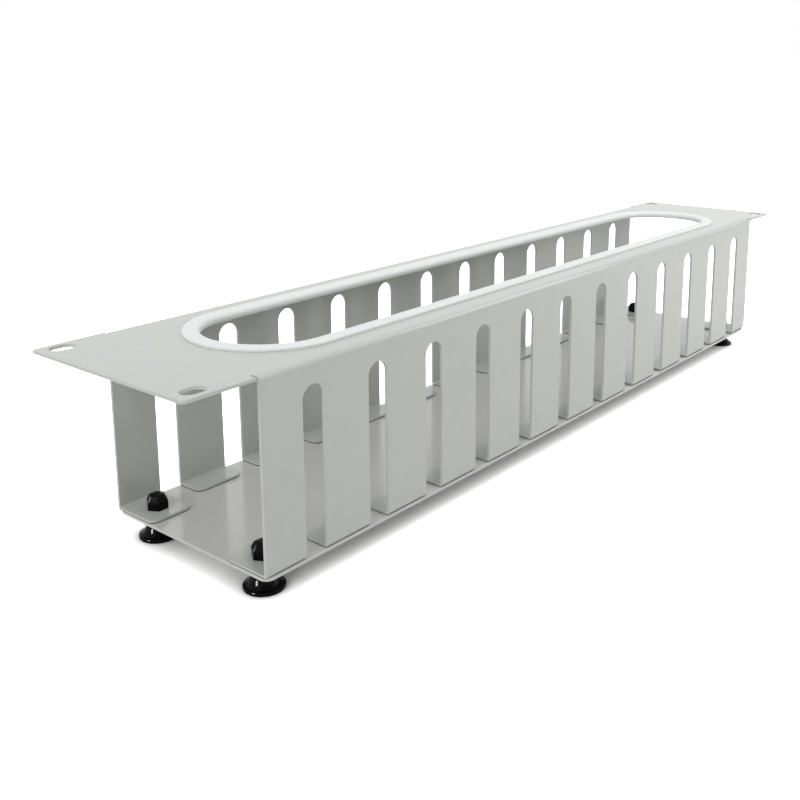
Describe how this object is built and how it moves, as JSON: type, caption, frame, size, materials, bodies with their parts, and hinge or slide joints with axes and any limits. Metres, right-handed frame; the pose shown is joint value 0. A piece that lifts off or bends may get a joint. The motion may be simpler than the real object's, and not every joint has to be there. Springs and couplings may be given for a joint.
{
  "type": "horizontal cable manager",
  "caption": "Folded steel rack panel with a racetrack cable opening and comb side walls, closed at the back by a flat plate and standing on moulded feet.",
  "frame": {"origin": "on the floor under the feet, at the middle of the bounding box", "axes": "+X along the panel's length (across the rack), +Y across the panel's two-unit height, +Z out of the panel's front face; the part stands on its feet with the panel up"},
  "size_m": [0.4826, 0.0882, 0.0856],
  "materials": {
    "powder_coat": "light grey powder coat, satin, fine orange peel",
    "trim_plastic": "pale extruded plastic, satin",
    "black_plastic": "black moulded plastic, glossy",
    "stud_steel": "zinc-plated steel"
  },
  "bodies": {
    "root": {"duct_body": "powder_coat", "base_plate": "powder_coat", "edge_trim": "trim_plastic", "foot_left_near": "black_plastic", "stud_left_near": "stud_steel", "cap_nut_left_near": "black_plastic", "foot_left_far": "black_plastic", "stud_left_far": "stud_steel", "cap_nut_left_far": "black_plastic", "foot_right_near": "black_plastic", "stud_right_near": "stud_steel", "cap_nut_right_near": "black_plastic", "foot_right_far": "black_plastic", "stud_right_far": "stud_steel", "cap_nut_right_far": "black_plastic"}
  },
  "joints": []
}
